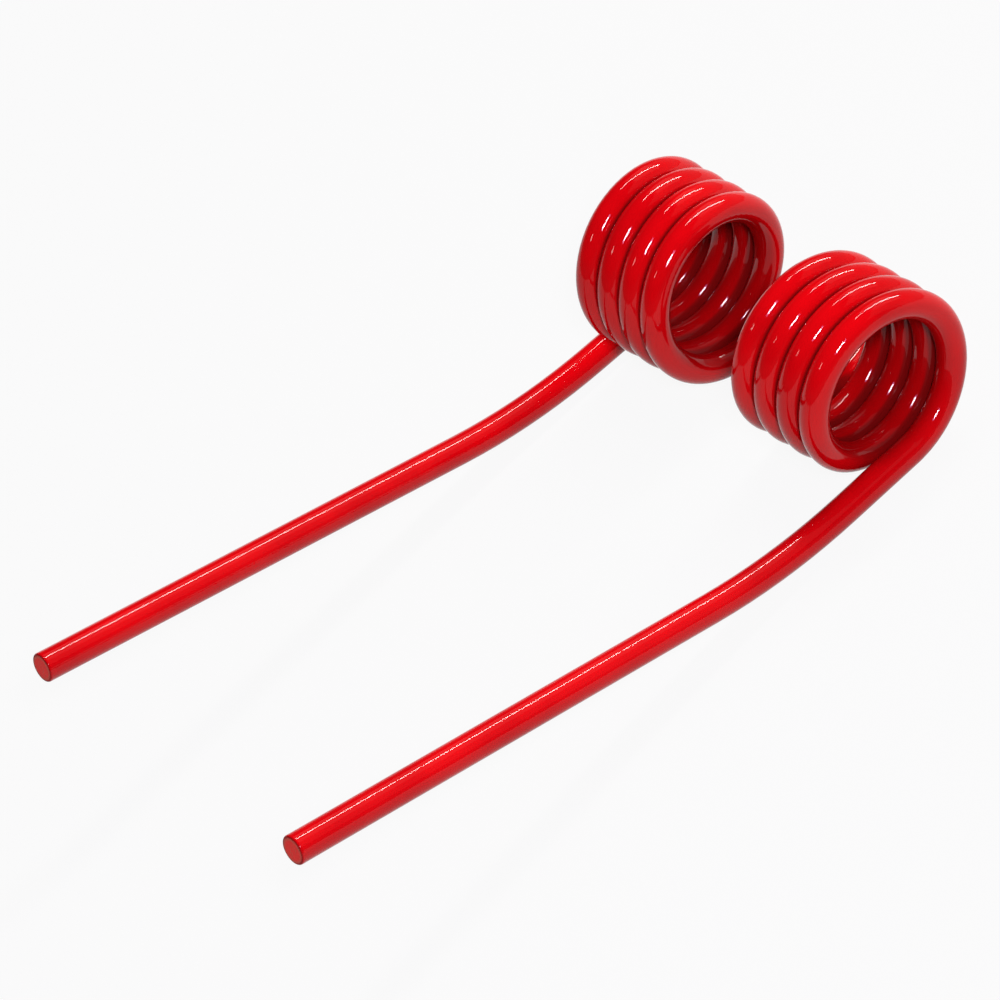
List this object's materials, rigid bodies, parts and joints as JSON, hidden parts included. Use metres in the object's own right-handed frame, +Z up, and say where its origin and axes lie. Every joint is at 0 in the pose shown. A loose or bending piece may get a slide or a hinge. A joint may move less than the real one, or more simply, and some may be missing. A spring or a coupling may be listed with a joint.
{
  "type": "pick-up tine",
  "caption": "Spring wire pick-up tine: close-wound mirrored coils side by side, joined by a flat clamping loop, with long gently bent legs and square-cut tips, in gloss red paint.",
  "frame": {"origin": "middle of the round bend of the clamping loop, on the bolt's axis, level with the underside of the wire", "axes": "+X across to the right-hand leg, along the common axis of both coils; +Y back, away from the tips; +Z up, along the clamping bolt"},
  "size_m": [0.0746, 0.1594, 0.0362],
  "materials": {
    "red_paint": "thick glossy red paint over spring steel wire"
  },
  "bodies": {
    "root": {"pickup_tine": "red_paint"}
  },
  "joints": []
}
